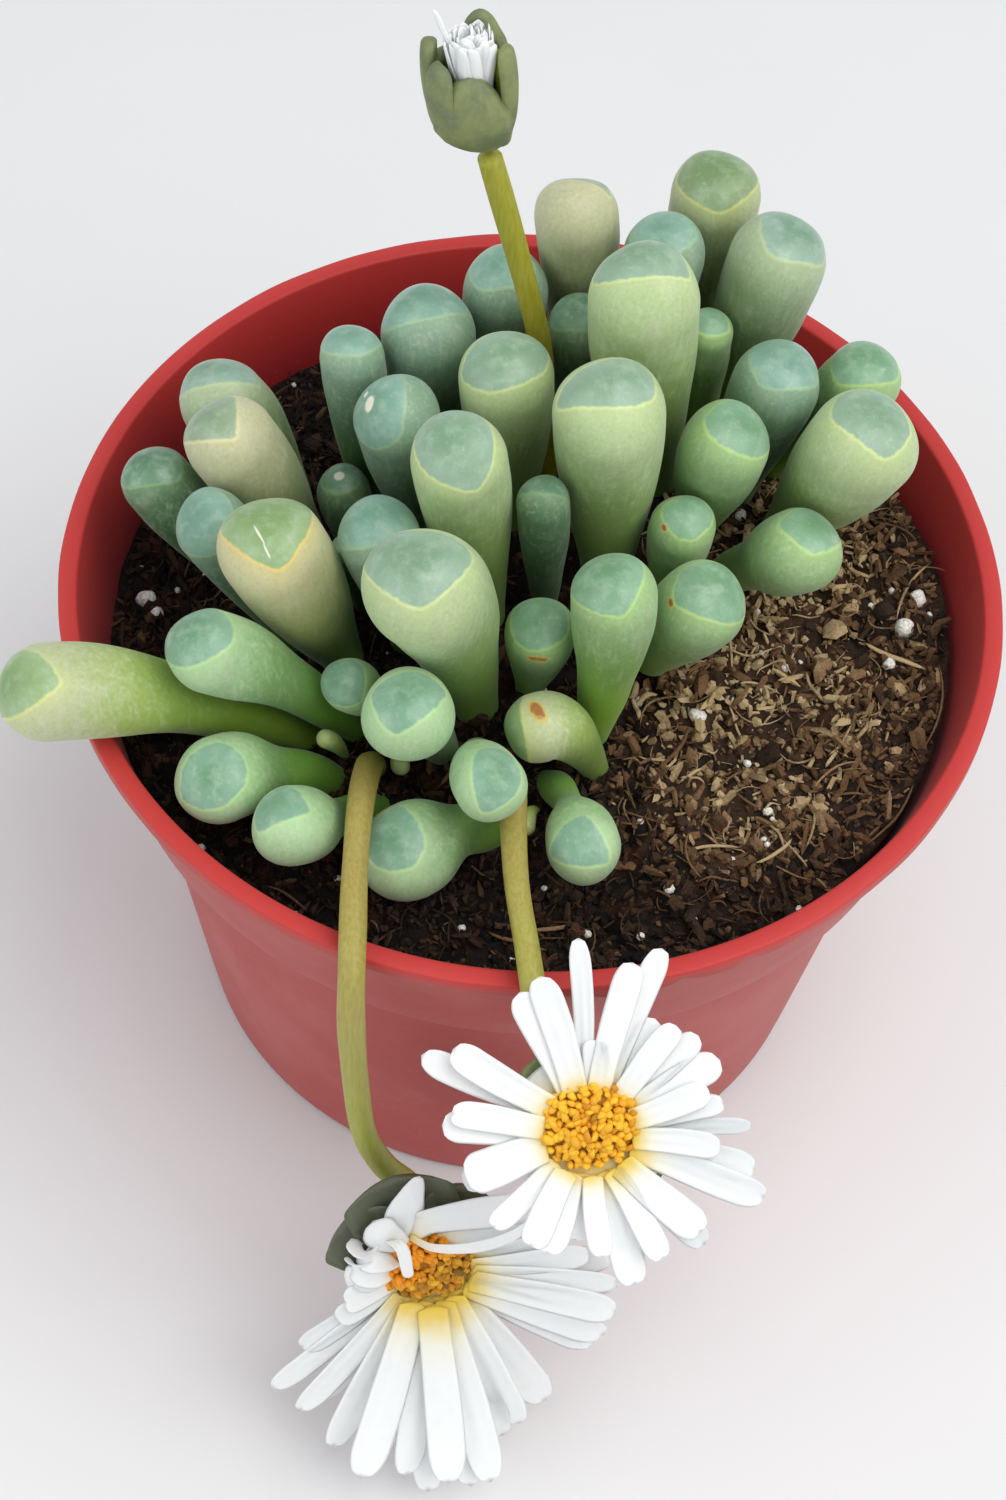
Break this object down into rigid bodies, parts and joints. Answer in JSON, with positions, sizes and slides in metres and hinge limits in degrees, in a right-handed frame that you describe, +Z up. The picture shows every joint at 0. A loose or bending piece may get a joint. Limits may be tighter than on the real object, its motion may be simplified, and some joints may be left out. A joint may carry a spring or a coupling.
{
  "type": "potted succulent",
  "caption": "Succulent with finger-shaped window leaves in a round tapered plastic nursery pot of soil, daisy-like flowers hanging over the rim and a bud on a tall stem",
  "frame": {"origin": "centre of the pot's underside, on the surface it stands on", "axes": "+Z up along the pot's axis; -Y is the side where the open flowers hang over the rim; +X is to the right of it"},
  "size_m": [0.1007, 0.1263, 0.1254],
  "materials": {
    "red_plastic": "satin",
    "potting_soil": "rough",
    "leaf_green": "satin",
    "bract_green": "satin",
    "stem_olive": "satin",
    "sepal_green": "satin",
    "petal_white": "satin",
    "disc_yellow": "rough"
  },
  "bodies": {
    "root": {"bract_left_inner": "bract_green", "bract_left_outer": "bract_green", "bract_right": "bract_green", "bud_petals": "petal_white", "bud_sepals": "sepal_green", "calyx_left": "sepal_green", "calyx_right": "sepal_green", "disc_left": "disc_yellow", "disc_right": "disc_yellow", "leaf_01": "leaf_green", "leaf_02": "leaf_green", "leaf_03": "leaf_green", "leaf_04": "leaf_green", "leaf_05": "leaf_green", "leaf_06": "leaf_green", "leaf_07": "leaf_green", "leaf_08": "leaf_green", "leaf_09": "leaf_green", "leaf_10": "leaf_green", "leaf_11": "leaf_green", "leaf_12": "leaf_green", "leaf_13": "leaf_green", "leaf_14": "leaf_green", "leaf_15": "leaf_green", "leaf_16": "leaf_green", "leaf_17": "leaf_green", "leaf_18": "leaf_green", "leaf_19": "leaf_green", "leaf_20": "leaf_green", "leaf_21": "leaf_green", "leaf_22": "leaf_green", "leaf_23": "leaf_green", "leaf_24": "leaf_green", "leaf_25": "leaf_green", "leaf_26": "leaf_green", "leaf_27": "leaf_green", "leaf_28": "leaf_green", "leaf_29": "leaf_green", "leaf_30": "leaf_green", "leaf_31": "leaf_green", "leaf_32": "leaf_green", "leaf_33": "leaf_green", "leaf_34": "leaf_green", "leaf_35": "leaf_green", "leaf_36": "leaf_green", "leaf_37": "leaf_green", "leaf_38": "leaf_green", "leaf_39": "leaf_green", "leaf_40": "leaf_green", "leaf_41": "leaf_green", "leaf_42": "leaf_green", "leaf_43": "leaf_green", "petals_left": "petal_white", "petals_right": "petal_white", "pot": "red_plastic", "soil": "potting_soil", "stem_bud": "stem_olive", "stem_left": "stem_olive", "stem_right": "stem_olive"}
  },
  "joints": []
}
